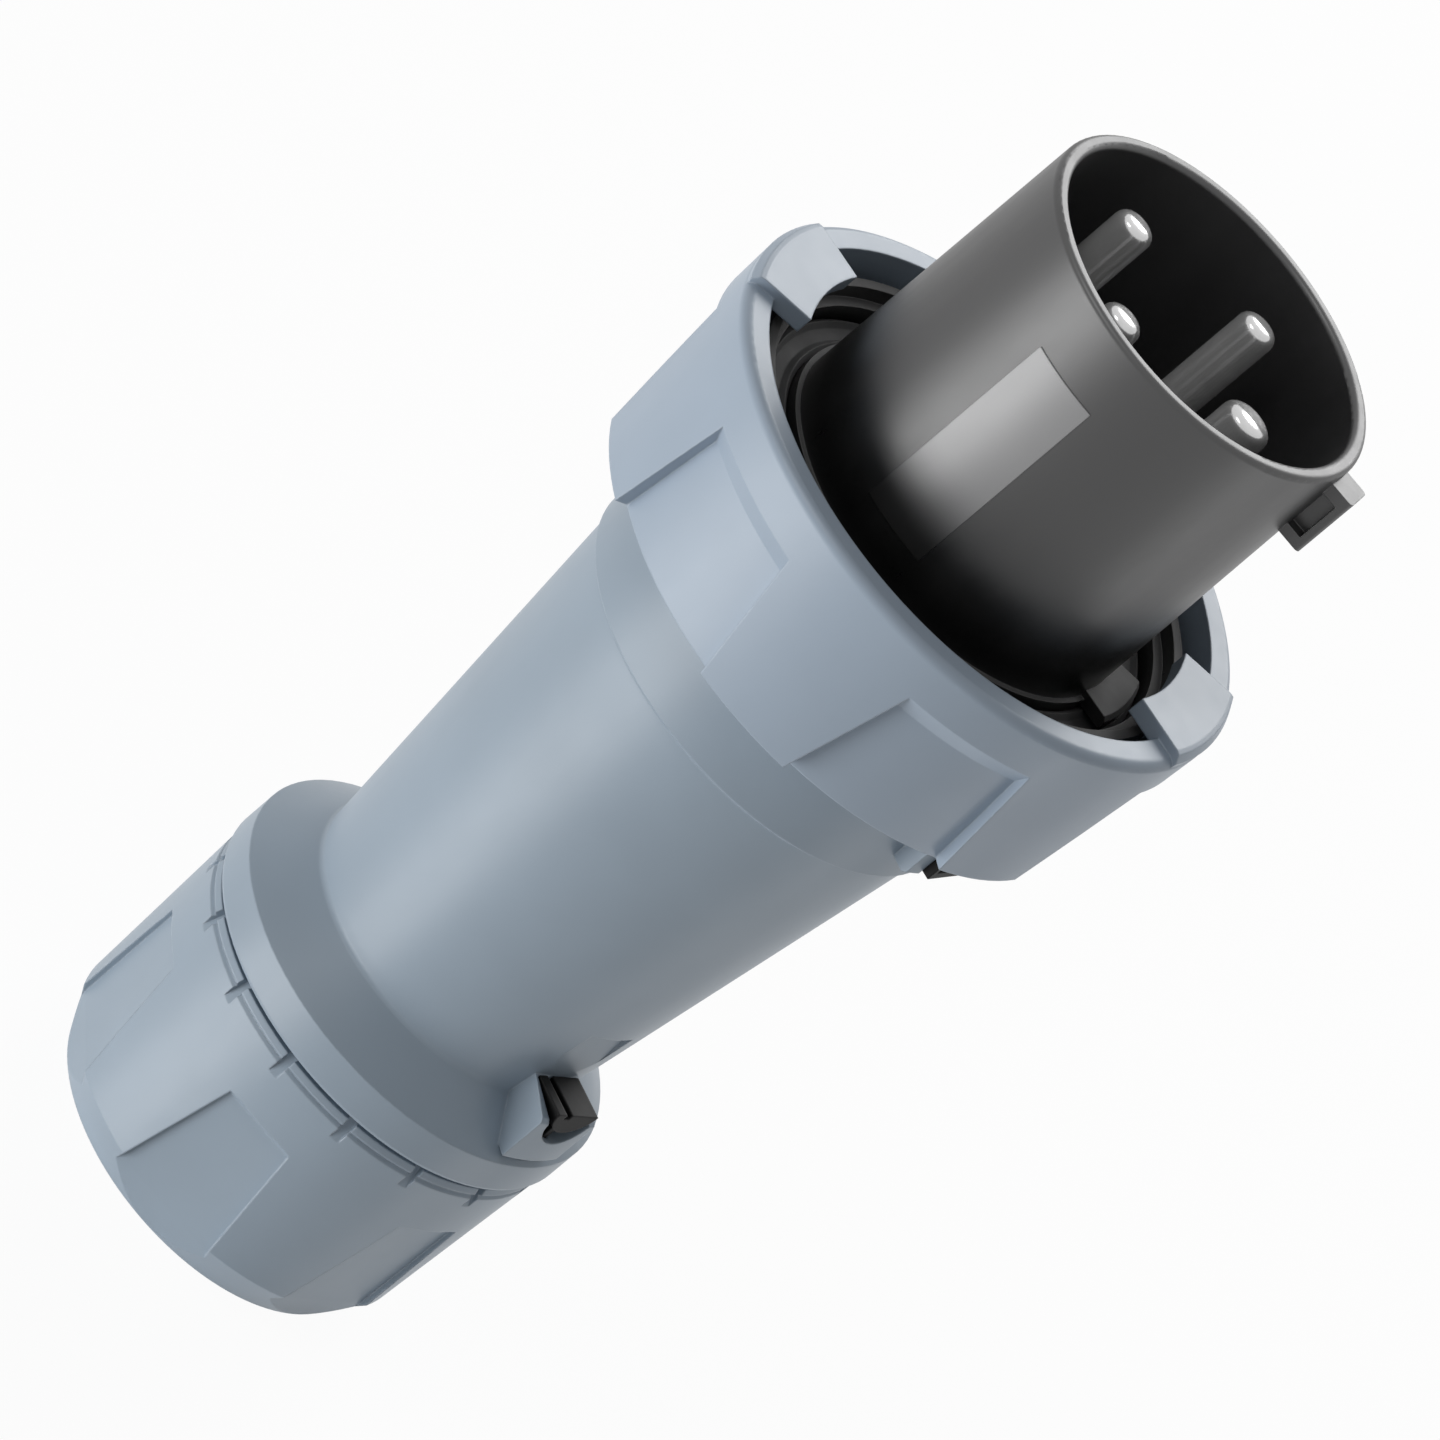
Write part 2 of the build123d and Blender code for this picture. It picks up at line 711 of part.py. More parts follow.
# Handle shell: flange under the ring, tapered grip, cone, collar and threaded neck
def make_handle_shell():
    ridge_radius = handle_front_radius + collar_step
    seat_z = hub_rear_z - 2
    outline = [
        (seal_pocket_radius, neck_end),
        (neck_radius, neck_end),
        (neck_radius, neck_top_z),
        (cone_radius - 0.3, neck_top_z),
        (cone_radius, neck_top_z + 0.6),
        (cone_radius, cone_rear_z),
        (handle_rear_radius, cone_front_z),
        (handle_front_radius, ridge_z),
        (ridge_radius, ridge_z + 0.8),
        (ridge_radius, handle_front_z - 2 * handle_flange_thickness),
        (handle_flange_radius, handle_front_z - handle_flange_thickness),
        (handle_flange_radius, handle_front_z),
        (handle_bore_radius, handle_front_z),
        (handle_bore_radius, seat_z),
        (handle_front_radius - handle_wall, seat_z - 3),
        (handle_front_radius - handle_wall, ridge_z),
        (handle_rear_radius - handle_wall, cone_front_z + 4),
        (handle_rear_radius - handle_wall, cone_rear_z),
        (neck_bore_radius, cone_rear_z - 2),
        (neck_bore_radius, seal_pocket_z),
        (seal_pocket_radius, seal_pocket_z),
    ]
    front_lug = [
        (handle_front_radius, front_lug_z),
        (front_lug_radius - 0.8, front_lug_z),
        (front_lug_radius, front_lug_z + 0.8),
        (front_lug_radius, handle_front_z - handle_flange_thickness),
        (handle_front_radius, handle_front_z - handle_flange_thickness),
    ]
    rear_lug_front_z = cone_rear_z + rear_lug_length
    rear_lug_z = cone_rear_z + rear_lug_setback
    rear_lug_foot = radius_at(rear_lug_z, cone_rear_z, cone_radius, cone_front_z, handle_rear_radius) - 1
    rear_lug = [
        (handle_rear_radius - 1.5, cone_front_z - 0.8),
        (rear_lug_foot, rear_lug_z),
        (cone_radius, rear_lug_z),
        (cone_radius, rear_lug_front_z - rear_lug_slope - 0.7),
        (cone_radius - 0.7, rear_lug_front_z - rear_lug_slope),
        (handle_rear_radius - 1.5, rear_lug_front_z),
    ]
    with BuildPart() as handle:
        with BuildSketch(Plane.XZ):
            with BuildLine():
                Polyline(*outline, close=True)
            make_face()
        revolve(axis=Axis.Z)
        cone_edge = handle.edges().filter_by(GeomType.CIRCLE).filter_by(
            lambda edge: abs(edge.radius - handle_rear_radius) < 0.01
        )
        fillet(cone_edge, radius=1.2)
        add(sector(front_lug, front_lug_turn, front_lug_half_angle))
        add(sector(rear_lug, rear_lug_turn, rear_lug_half_angle))
        # Channel for the front slide, open to the rear, and the window in line with the hub's grooves
        channel_top = front_arm_top_z + slide_gap
        channel_low = front_lug_z - 1
        with BuildSketch(tangent_plane(front_lug_turn, handle_flange_radius + 1, channel_low)):
            with Locations((0, (channel_top - channel_low) / 2)):
                Rectangle(front_slide_width + 2 * slide_gap, channel_top - channel_low)
        extrude(amount=-(handle_flange_radius + 1 - front_channel_floor), mode=Mode.SUBTRACT)
        window_low = front_arm_top_z - front_leg_height - front_slide_travel - slide_gap
        with BuildSketch(tangent_plane(front_lug_turn, front_channel_floor + 1, window_low)):
            with Locations((0, (channel_top - window_low) / 2)):
                Rectangle(front_leg_width + 2 * slide_gap, channel_top - window_low)
        extrude(amount=-(front_channel_floor + 3 - handle_bore_radius), mode=Mode.SUBTRACT)
        # Channel for the rear slide, open to the front and half-round at its rear end
        channel_radius = rear_slide_width / 2 + slide_gap
        channel_end = rear_slide_z - rear_slide_travel - slide_gap
        with BuildSketch(tangent_plane(rear_lug_turn, cone_radius + 1, channel_end)):
            with Locations((0, channel_radius)):
                Circle(channel_radius)
            with Locations((0, channel_radius + rear_lug_length / 2)):
                Rectangle(2 * channel_radius, rear_lug_length)
        extrude(amount=-(1 + rear_channel_depth), mode=Mode.SUBTRACT)
        # Tunnel from that channel through the collar, for the tongue of the slide
        tunnel_low = neck_top_z - 1
        tunnel_length = channel_end + channel_radius - tunnel_low
        tunnel_radius = tongue_radius + tongue_thickness / 2 + slide_gap / 2
        with BuildSketch(tangent_plane(tongue_turn, tunnel_radius, tunnel_low)):
            with Locations((0, tunnel_length / 2)):
                Rectangle(tongue_width + 2 * slide_gap, tunnel_length)
        extrude(amount=-(tongue_thickness + slide_gap), mode=Mode.SUBTRACT)
    return handle.part


# Front lock slide: thumb block, and an arm with a leg that drops into the notch of the hub
def make_front_lock_slide():
    floor = front_channel_floor + fit_gap / 2
    thumb_top = front_lug_radius + front_thumb_height
    arm_length = front_arm_top_z - front_slide_z - front_slide_length
    with BuildPart() as slide:
        with BuildSketch(tangent_plane(front_lug_turn, floor, front_slide_z + front_slide_length / 2)):
            Rectangle(front_slide_width, front_slide_length)
        extrude(amount=thumb_top - floor)
        chamfer(slide.faces().sort_by(SortBy.DISTANCE)[-1].edges(), length=0.6)
        # Grip grooves across the thumb face
        for step in (-1, 0, 1):
            groove_z = front_slide_z + front_slide_length / 2 + 2 * step
            with BuildSketch(tangent_plane(front_lug_turn, thumb_top + 1, groove_z)):
                Rectangle(front_slide_width - 2, 0.9)
            extrude(amount=-1.6, mode=Mode.SUBTRACT)
        with BuildSketch(tangent_plane(front_lug_turn, floor, front_arm_top_z - (arm_length + 1) / 2)):
            Rectangle(front_slide_width, arm_length + 1)
        extrude(amount=front_arm_thickness)
        with BuildSketch(tangent_plane(front_lug_turn, floor + 1, front_arm_top_z - front_leg_height / 2)):
            Rectangle(front_leg_width, front_leg_height)
        extrude(amount=-(floor + 1 - latch_groove_radius - running_gap))
    return slide.part


# Rear lock slide: half-round block with an upright groove and a tongue that enters the nut's notches
def make_rear_lock_slide():
    outer = cone_radius - rear_slide_sink
    floor = rear_channel_floor + fit_gap / 2
    end_radius = rear_slide_width / 2
    with BuildPart() as slide:
        with BuildSketch(tangent_plane(rear_lug_turn, floor, rear_slide_z)):
            with Locations((0, end_radius)):
                Circle(end_radius)
            with Locations((0, rear_slide_length + end_radius)):
                Rectangle(3 * end_radius, 2 * end_radius, mode=Mode.SUBTRACT)
        extrude(amount=outer - floor)
        # Upright groove in the front end
        with BuildSketch(tangent_plane(rear_lug_turn, outer + 1, rear_slide_z + rear_slide_length)):
            with Locations((-rear_groove_offset, 0)):
                Rectangle(rear_groove_width, 2 * rear_groove_depth)
        extrude(amount=-(outer + 2 - floor), mode=Mode.SUBTRACT)
        tongue_low = neck_top_z + running_gap
        tongue_length = rear_slide_z + rear_slide_length / 2 - tongue_low
        with BuildSketch(tangent_plane(tongue_turn, tongue_radius + tongue_thickness / 2, tongue_low)):
            with Locations((0, tongue_length / 2)):
                Rectangle(tongue_width, tongue_length)
        extrude(amount=-tongue_thickness)
    return slide.part


# Gland nut: tapered nut with six grip pockets and a ring of lock notches
def make_nut_grip_cutter():
    front_z = nut_length - nut_grip_setback
    surface_front = radius_at(front_z, nut_chamfer, nut_rear_radius, nut_length, nut_front_radius)
    front_half = nut_rear_radius * sin(radians(nut_grip_front_half_angle))
    rear_half = nut_rear_radius * sin(radians(nut_grip_rear_half_angle))
    side = [
        (nut_end_radius - 0.1, -1),
        (nut_rear_radius - nut_grip_rear_depth, nut_grip_end),
        (surface_front - nut_grip_depth, front_z - nut_grip_ramp),
        (surface_front + 1, front_z + nut_grip_ramp),
        (surface_front + 5, front_z + nut_grip_ramp),
        (surface_front + 5, -1),
    ]
    with BuildPart() as cutter:
        with BuildSketch(Plane.YZ):
            with BuildLine():
                Polyline(
                    (-front_half, front_z),
                    (front_half, front_z),
                    (rear_half, -1),
                    (-rear_half, -1),
                    close=True,
                )
            make_face()
        extrude(amount=surface_front + 5)
        # Flat floor with a ramp at its front end and a slope to the nut's rear face
        with BuildSketch(Plane.XZ):
            with BuildLine():
                Polyline(*side, close=True)
            make_face()
        extrude(amount=2 * rear_half, both=True, mode=Mode.INTERSECT)
    return cutter.part


def make_gland_nut():
    line_z = nut_length - line_setback
    line_radius = radius_at(line_z, nut_chamfer, nut_rear_radius, nut_length, nut_front_radius)
    outline = [
        (nut_mouth_radius, 0),
        (nut_end_radius, 0),
        (nut_rear_radius, nut_chamfer),
        (line_radius, line_z - line_groove),
        (line_radius - line_groove, line_z),
        (line_radius, line_z + line_groove),
        (nut_front_radius - 0.5, nut_length),
        (nut_thread_radius + 0.8, nut_length),
        (nut_thread_radius, nut_length - 0.8),
        (nut_thread_radius, nut_floor),
        (nut_shoulder_radius, nut_floor),
        (nut_mouth_radius, nut_mouth_length),
    ]
    # Side view of a lock notch, deep at the nut's front face and running out behind it
    notch_floor = nut_front_radius - notch_depth
    notch = [
        (notch_floor, nut_length + 1),
        (notch_floor, nut_length),
        (nut_front_radius, nut_length - notch_length),
        (nut_front_radius + notch_depth, nut_length - 2 * notch_length),
        (nut_front_radius + notch_depth, nut_length + 1),
    ]
    grip_cutter = make_nut_grip_cutter()
    with BuildPart() as nut:
        with BuildSketch(Plane.XZ):
            with BuildLine():
                Polyline(*outline, close=True)
            make_face()
        revolve(axis=Axis.Z)
        with PolarLocations(0, nut_grip_count, start_angle=nut_turn):
            add(grip_cutter, mode=Mode.SUBTRACT)
        for step in range(notch_count):
            with BuildSketch(radial_plane(nut_turn + step * 360 / notch_count)):
                with BuildLine():
                    Polyline(*notch, close=True)
                make_face()
            extrude(amount=notch_width / 2, both=True, mode=Mode.SUBTRACT)
    return nut.part


# Thrust ring: carried on the nut's inner shoulder, it presses the clamp cage
def make_thrust_ring():
    bottom = nut_floor + fit_gap
    outer = nut_thread_radius - thrust_ring_gap
    outline = [
        (thrust_ring_bore, bottom),
        (outer, bottom),
        (outer, bottom + thrust_ring_thickness),
        (thrust_ring_bore, bottom + thrust_ring_thickness),
    ]
    return turned(outline)


# Clamp cage: base ring under the seal with a crown of fingers round the cable
def make_clamp_cage():
    outer = seal_pocket_radius - running_gap
    outline = [
        (cage_bore_radius, finger_end),
        (finger_radius, finger_end),
        (finger_radius, cage_z),
        (outer, cage_z),
        (outer, cage_top_z),
        (cage_bore_radius, cage_top_z),
    ]
    with BuildPart() as cage:
        add(turned(outline))
        finger_height = cage_z - finger_end
        with PolarLocations(finger_radius, finger_count):
            with Locations((0, 0, finger_end + finger_height / 2 - 0.5)):
                Box(3 * (finger_radius - cage_bore_radius), finger_slot, finger_height + 1, mode=Mode.SUBTRACT)
    return cage.part


# Gland seal and the reducer ring inside it
def make_gland_seal():
    bottom = cage_top_z + fit_gap
    top = seal_pocket_z - fit_gap
    outer = seal_pocket_radius - running_gap
    outline = [
        (gland_seal_bore, bottom),
        (outer, bottom),
        (outer, top),
        (gland_seal_bore + seal_chamfer, top),
        (gland_seal_bore, top - 0.6 * seal_chamfer),
    ]
    return turned(outline)


def make_seal_reducer():
    bottom = cage_top_z + fit_gap + 0.6
    top = seal_pocket_z - fit_gap - 2
    outer = gland_seal_bore - fit_gap
    outline = [
        (cable_bore, bottom),
        (outer, bottom),
        (outer, top),
        (cable_bore, top),
    ]
    return turned(outline)


# Build every piece and write it out
os.makedirs("parts", exist_ok=True)
finish(make_contact_insert(), "contact_insert")
finish(make_face_seal(), "face_seal")
for pin_name, pin_angle in phase_angles.items():
    finish(make_pin(pin_angle, phase_pin_radius), pin_name)
finish(make_pin(earth_angle, earth_pin_radius), "pin_earth")
finish(make_terminal_screws(), "terminal_screws")
finish(make_wire_clamps(), "wire_clamps")
finish(make_terminal_carrier(), "terminal_carrier")
finish(make_carrier_screw(), "carrier_screw")
finish(make_body_o_ring(), "body_o_ring")
finish(make_coupling_ring(), "coupling_ring")
finish(make_slide_washer(), "slide_washer")
finish(make_handle_shell(), "handle_shell")
finish(make_front_lock_slide(), "front_lock_slide")
finish(make_rear_lock_slide(), "rear_lock_slide")
finish(make_gland_nut(), "gland_nut")
finish(make_thrust_ring(), "thrust_ring")
finish(make_clamp_cage(), "clamp_cage")
finish(make_gland_seal(), "gland_seal")
finish(make_seal_reducer(), "seal_reducer")
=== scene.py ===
# %% [markdown]
# An industrial plug for 63 A, dressed for its picture.
# The CAD model gives every part its true size and place, so this lesson adds only what the eye wants besides:
# light, a camera, moulded and turned surfaces, and the one piece that is too thin for the model.
# The frame comes first, because every later cell asks it where things are.

# %% Load the plug
from math import cos, radians, sin

import bmesh
import bpy
from mathutils import Matrix, Vector


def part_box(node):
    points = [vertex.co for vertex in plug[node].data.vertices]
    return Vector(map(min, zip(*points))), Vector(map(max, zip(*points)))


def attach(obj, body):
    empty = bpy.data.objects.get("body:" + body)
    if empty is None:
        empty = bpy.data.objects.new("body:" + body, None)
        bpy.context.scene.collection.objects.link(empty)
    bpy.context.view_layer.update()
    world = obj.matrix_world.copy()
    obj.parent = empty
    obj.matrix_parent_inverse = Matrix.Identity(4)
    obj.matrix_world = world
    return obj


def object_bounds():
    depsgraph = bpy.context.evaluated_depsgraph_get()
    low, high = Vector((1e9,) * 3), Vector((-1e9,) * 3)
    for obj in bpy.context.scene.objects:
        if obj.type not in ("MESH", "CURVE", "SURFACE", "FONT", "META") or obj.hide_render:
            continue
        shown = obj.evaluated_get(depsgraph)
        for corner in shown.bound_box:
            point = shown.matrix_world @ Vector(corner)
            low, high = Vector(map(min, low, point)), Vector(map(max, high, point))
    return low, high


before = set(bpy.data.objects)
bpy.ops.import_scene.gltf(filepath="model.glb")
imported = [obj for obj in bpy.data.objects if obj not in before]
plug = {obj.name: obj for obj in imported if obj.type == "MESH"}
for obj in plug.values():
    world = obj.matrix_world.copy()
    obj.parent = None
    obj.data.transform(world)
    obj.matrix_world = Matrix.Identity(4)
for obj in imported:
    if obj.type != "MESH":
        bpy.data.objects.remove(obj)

cad_low, cad_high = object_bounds()
print(len(plug), "parts, from", [round(v, 4) for v in cad_low], "to", [round(v, 4) for v in cad_high])

# %% [markdown]
# The picture is taken from far away with a long lens, which keeps round rims nearly true ellipses.
# A camera can be set by turning and tilting it until it looks right, or by writing down its three directions.
# The second way is exact and easy to read: right, up and back are the columns of the camera's matrix.
# The shroud's mouth stands high on the right in the picture, so the lens is moved the other way by as much.

# %% Camera
view_turn, view_tilt = radians(40.26), radians(28.3)
to_right = Vector((sin(view_turn), cos(view_turn) * sin(view_tilt), cos(view_turn) * cos(view_tilt)))
to_top = Vector((-cos(view_turn), sin(view_turn) * sin(view_tilt), sin(view_turn) * cos(view_tilt)))
to_lens = to_right.cross(to_top)
mouth_centre, mouth_right, mouth_up = Vector((0, 0, 0.252)), 0.08196, 0.06877
lens_distance, focal_length, sensor_width = 2.6, 391.69, 36.0
stand = mouth_centre - mouth_right * to_right - mouth_up * to_top + lens_distance * to_lens

camera = bpy.data.objects.new("camera", bpy.data.cameras.new("camera"))
camera.data.sensor_width, camera.data.lens = sensor_width, focal_length
camera.data.clip_end = 100.0
turned = Matrix((to_right, to_top, to_lens)).transposed().to_4x4()
camera.matrix_world = Matrix.Translation(stand) @ turned
bpy.context.scene.collection.objects.link(camera)
bpy.context.scene.camera = camera
print("camera stands", round(stand.length, 3), "m away")

# %% [markdown]
# A material is a small net of nodes, and most of the typing is making nodes and joining them.
# A few helpers keep that short. A value for a node is either plain, and is set, or comes out of another node, and
# is linked, so one helper decides that for all the others.

# %% Helpers for nodes
def feed(tree, socket, value):
    if isinstance(value, bpy.types.NodeSocket):
        tree.links.new(value, socket)
    else:
        socket.default_value = value


def node(tree, kind, settings=None, **values):
    """One node with its settings and its sockets' values, named or by number as i0, i1."""
    made = tree.nodes.new("ShaderNode" + kind)
    for key, value in (settings or {}).items():
        setattr(made, key, value)
    for key, value in values.items():
        feed(tree, made.inputs[int(key[1:])] if key[1:].isdigit() else made.inputs[key.replace("_", " ")], value)
    return made


def maths(tree, operation, first, second=0.0, clamp=False):
    return node(tree, "Math", {"operation": operation, "use_clamp": clamp}, i0=first, i1=second).outputs[0]


def blend(tree, kind, amount, below, above):
    """Two colours mixed; the Mix node keeps its colour sockets at numbers 6 and 7."""
    made = node(tree, "Mix", {"data_type": "RGBA", "blend_type": kind})
    for number, value in ((0, amount), (6, below), (7, above)):
        feed(tree, made.inputs[number], value)
    return made.outputs[2]


def ramp(tree, value, stops):
    """Greys placed along a value from 0 to 1."""
    made = node(tree, "ValToRGB", i0=value)
    for element, (place, shade) in zip(made.color_ramp.elements, stops):
        element.position, element.color = place, (shade, shade, shade, 1)
    return made.outputs[0]


def by_height(tree, low, high, below=0.0, above=1.0):
    """A value that passes smoothly from below to above between two heights on the plug."""
    spot = node(tree, "TexCoord").outputs["Object"]
    height = node(tree, "SeparateXYZ", i0=spot).outputs["Z"]
    smooth = {"interpolation_type": "SMOOTHSTEP"}
    return node(tree, "MapRange", smooth, i0=height, i1=low, i2=high, i3=below, i4=above).outputs[0]


print("node helpers ready")

# %% [markdown]
# An effect that several plastics need, such as worn edges, could be copied into each material.
# A node group is built once and placed in each, so that a better idea has to be typed only once.
# Its sockets have names, and a material asks it for a mask or a height by that name.

# %% Helpers for shared groups
def shared(name, inputs, outputs):
    """An empty group with float, colour or vector sockets, and its two ends."""
    tree = bpy.data.node_groups.new(name, "ShaderNodeTree")
    for label, kind, value in inputs:
        socket = tree.interface.new_socket(label, in_out="INPUT", socket_type="NodeSocket" + kind)
        if value is not None:
            socket.default_value = value
    for label, kind in outputs:
        tree.interface.new_socket(label, in_out="OUTPUT", socket_type="NodeSocket" + kind)
    return tree, tree.nodes.new("NodeGroupInput").outputs, tree.nodes.new("NodeGroupOutput").inputs


def placed(tree, group, **values):
    made = tree.nodes.new("ShaderNodeGroup")
    made.node_tree = group
    for key, value in values.items():
        feed(tree, made.inputs[key.replace("_", " ")], value)
    return made.outputs


print("group helpers ready")

# %% [markdown]
# Moulded plastic isn't perfectly smooth. The steel mould is spark-eroded, which leaves a fine grain, and the
# melt cools unevenly, which leaves faint clouds of lighter and darker colour.
# Both are noise at two very different sizes, so one group gives a fine height and a slow tone.
# A third noise, drawn out along the plug, makes the gloss uneven, as the flow of the melt does.

# %% Moulded skin
moulded_skin, skin_in, skin_out = shared(
    "moulded skin",
    [("Grain", "Float", 1500.0), ("Cloud", "Float", 22.0)],
    [("Height", "Float"), ("Tone", "Float"), ("Shine", "Float")],
)
pit_share, flow_stretch, flow_scale = 0.35, (1.0, 1.0, 0.25), 130.0
spot = node(moulded_skin, "TexCoord").outputs["Object"]
grain = node(moulded_skin, "TexNoise", i0=spot, Scale=skin_in["Grain"], Detail=2.0, Roughness=0.6).outputs[0]
pits = node(moulded_skin, "TexVoronoi", i0=spot, Scale=skin_in["Grain"]).outputs[0]
skin_height = maths(moulded_skin, "ADD", grain, maths(moulded_skin, "MULTIPLY", pits, pit_share))
cloud = node(moulded_skin, "TexNoise", i0=spot, Scale=skin_in["Cloud"], Detail=3.0, Roughness=0.5).outputs[0]
flow = node(moulded_skin, "Mapping", i0=spot, Scale=flow_stretch).outputs[0]
sheen = node(moulded_skin, "TexNoise", i0=flow, Scale=flow_scale, Detail=5.0, Roughness=0.7).outputs[0]
for label, value in (("Height", skin_height), ("Tone", cloud), ("Shine", sheen)):
    moulded_skin.links.new(value, skin_out[label])
print("moulded skin:", len(moulded_skin.nodes), "nodes")

# %% [markdown]
# No moulded edge is truly sharp: the mould's own corners are rounded by a few tenths of a millimetre, and
# handling polishes them first. The Bevel node looks round each point and returns a softened normal.
# Where it leans away from the true normal there is an edge, so the same node also gives the mask for wear and for
# a painted edge highlight.

# %% Softened and rubbed edges
rubbed_edges, rub_in, rub_out = shared(
    "rubbed edges",
    [("Rounding", "Float", 0.0005), ("Patchy", "Float", 260.0)],
    [("Normal", "Vector"), ("Rub", "Float")],
)
edge_contrast = 5.0
soft = node(rubbed_edges, "Bevel", {"samples": 6}, Radius=rub_in["Rounding"]).outputs[0]
flat = node(rubbed_edges, "NewGeometry").outputs["Normal"]
lean = node(rubbed_edges, "VectorMath", {"operation": "DOT_PRODUCT"}, i0=soft, i1=flat).outputs["Value"]
edge = maths(rubbed_edges, "SUBTRACT", 1.0, lean, True)
edge = maths(rubbed_edges, "MULTIPLY", edge, edge_contrast, True)
spot = node(rubbed_edges, "TexCoord").outputs["Object"]
patches = node(rubbed_edges, "TexNoise", i0=spot, Scale=rub_in["Patchy"], Detail=4.0, Roughness=0.65).outputs[0]
worn = ramp(rubbed_edges, patches, [(0.35, 0.15), (0.65, 1.0)])
rubbed_edges.links.new(soft, rub_out["Normal"])
rubbed_edges.links.new(maths(rubbed_edges, "MULTIPLY", edge, worn), rub_out["Rub"])
print("rubbed edges:", len(rubbed_edges.nodes), "nodes")

# %% [markdown]
# Corners and recesses get painted shade: their colour is darkened where they are closed in, as if shade fell
# there.
# Ambient occlusion measures how closed-in a point is. Broken up with noise, it becomes the mask for this painted
# shade.

# %% Painted shade in the corners
corner_shade, shade_in, shade_out = shared("corner painted shade", [("Reach", "Float", 0.0015)], [("Painted shade", "Float")])
breakup_scale = 420.0
closed = node(corner_shade, "AmbientOcclusion", {"samples": 6}, Distance=shade_in["Reach"]).outputs["AO"]
spot = node(corner_shade, "TexCoord").outputs["Object"]
breakup = node(corner_shade, "TexNoise", i0=spot, Scale=breakup_scale, Detail=4.0, Roughness=0.7).outputs[0]
depth = maths(corner_shade, "SUBTRACT", 1.0, closed, True)
corner_shade.links.new(maths(corner_shade, "MULTIPLY", depth, breakup, True), shade_out["Painted shade"])
print("corner painted shade:", len(corner_shade.nodes), "nodes")

# %% [markdown]
# A colour is easiest to pick on the screen, but Blender calculates with linear light, so a helper converts it.
# The other two helpers make an empty material and put a finished one on a part of the plug.

# %% Colours and materials
def srgb(red, green, blue):
    """A colour picked in screen values, as Blender's linear colour."""
    linear = [c / 255 / 12.92 if c <= 10 else ((c / 255 + 0.055) / 1.055) ** 2.4 for c in (red, green, blue)]
    return (*linear, 1.0)


def fresh(name):
    material = bpy.data.materials.new(name)
    material.use_nodes = True
    tree = material.node_tree
    return material, tree, tree.nodes["Principled BSDF"]


def dress(part, finish):
    for place in plug[part].material_slots:
        place.material = finish


print("housing grey in linear light:", [round(c, 3) for c in srgb(146, 160, 173)[:3]])

# %% [markdown]
# The housing, the shroud, the slides and the hidden gland parts are all injection moulded, so they share one
# recipe and differ only in colour, gloss and how coarse the grain is.
# The shader itself stays in each material, and only changing colours and values come from the groups.

# %% Recipe for moulded plastic
cloud_tones, rub_and_highlight_share, rub_polish = [(0.3, 0.93), (0.7, 1.05)], 0.45, 0.1
# The darkening factor on the next line paints shade into closed corners.
gloss_spread, shade_darkening, relief_strength = 0.16, 0.45, 0.6


def moulded(name, colour, rubbed, rough=0.42, grain=1500.0, rounding=0.0005, corner_shade_amount=0.25, reflect=0.5,
            grain_depth=0.00001, deepen=None):
    """A moulded plastic; deepen may change its colour and roughness once more before the shader gets them."""
    material, tree, shader = fresh(name)
    shader.inputs["Specular IOR Level"].default_value = reflect
    skin = placed(tree, moulded_skin, Grain=grain)
    edges = placed(tree, rubbed_edges, Rounding=rounding)
    # painted shade: the colour is darkened where corners are closed in
    corner_shade_mask = placed(tree, corner_shade)["Painted shade"]
    paint = blend(tree, "MULTIPLY", 1.0, colour, ramp(tree, skin["Tone"], cloud_tones))
    # the edges are painted paler: partly wear, partly painted edge highlight
    paint = blend(tree, "MIX", maths(tree, "MULTIPLY", edges["Rub"], rub_and_highlight_share), paint, rubbed)
    shaded_colour = [c * shade_darkening for c in colour[:3]] + [1.0]
    paint = blend(tree, "MIX", maths(tree, "MULTIPLY", corner_shade_mask, corner_shade_amount), paint, shaded_colour)
    dull = maths(tree, "ADD", rough - gloss_spread / 2, maths(tree, "MULTIPLY", skin["Shine"], gloss_spread))
    dull = maths(tree, "SUBTRACT", dull, maths(tree, "MULTIPLY", edges["Rub"], rub_polish), True)
    if deepen:
        paint, dull = deepen(tree, paint, dull)
    tree.links.new(paint, shader.inputs["Base Color"])
    tree.links.new(dull, shader.inputs["Roughness"])
    relief = node(tree, "Bump", Strength=relief_strength, Distance=grain_depth, Height=skin["Height"],
                  Normal=edges["Normal"])
    tree.links.new(relief.outputs[0], shader.inputs["Normal"])
    return material


print("recipe for moulded plastic ready")

# %% [markdown]
# The housing is blue-grey polyamide with a satin skin. The three big parts come from the same granulate, yet
# from three moulds, so their greys differ by a hair, which keeps the seams between them readable.

# %% Blue-grey housing
housing_colours = {
    "coupling_ring": srgb(158, 172, 187),
    "handle_shell": srgb(146, 160, 173),
    "gland_nut": srgb(149, 163, 176),
}
# The pale rubbed colour gives the edges wear and a painted edge highlight.
for part, colour in housing_colours.items():
    dress(part, moulded(part + " plastic", colour, srgb(205, 217, 229), rough=0.40))
print("housing:", ", ".join(housing_colours))

# %% [markdown]
# Deep inside the coupling ring little light gets in and none comes out again, so the insert lies in shade there.
# That shade is painted: its colour fades to black over the last stretch above the ring. The white studio would
# still mirror in the faces that look up, so those are matt down there. The upright walls are a touch glossier and
# mirror the dark.

# %% Painted shade in the depth
fade_top, fade_height, fade_share = 0.214, 0.015, 0.85
painted_shade_black, upward_matt, upright_gloss = (0.0015, 0.0015, 0.0015, 1.0), 0.5, 0.12


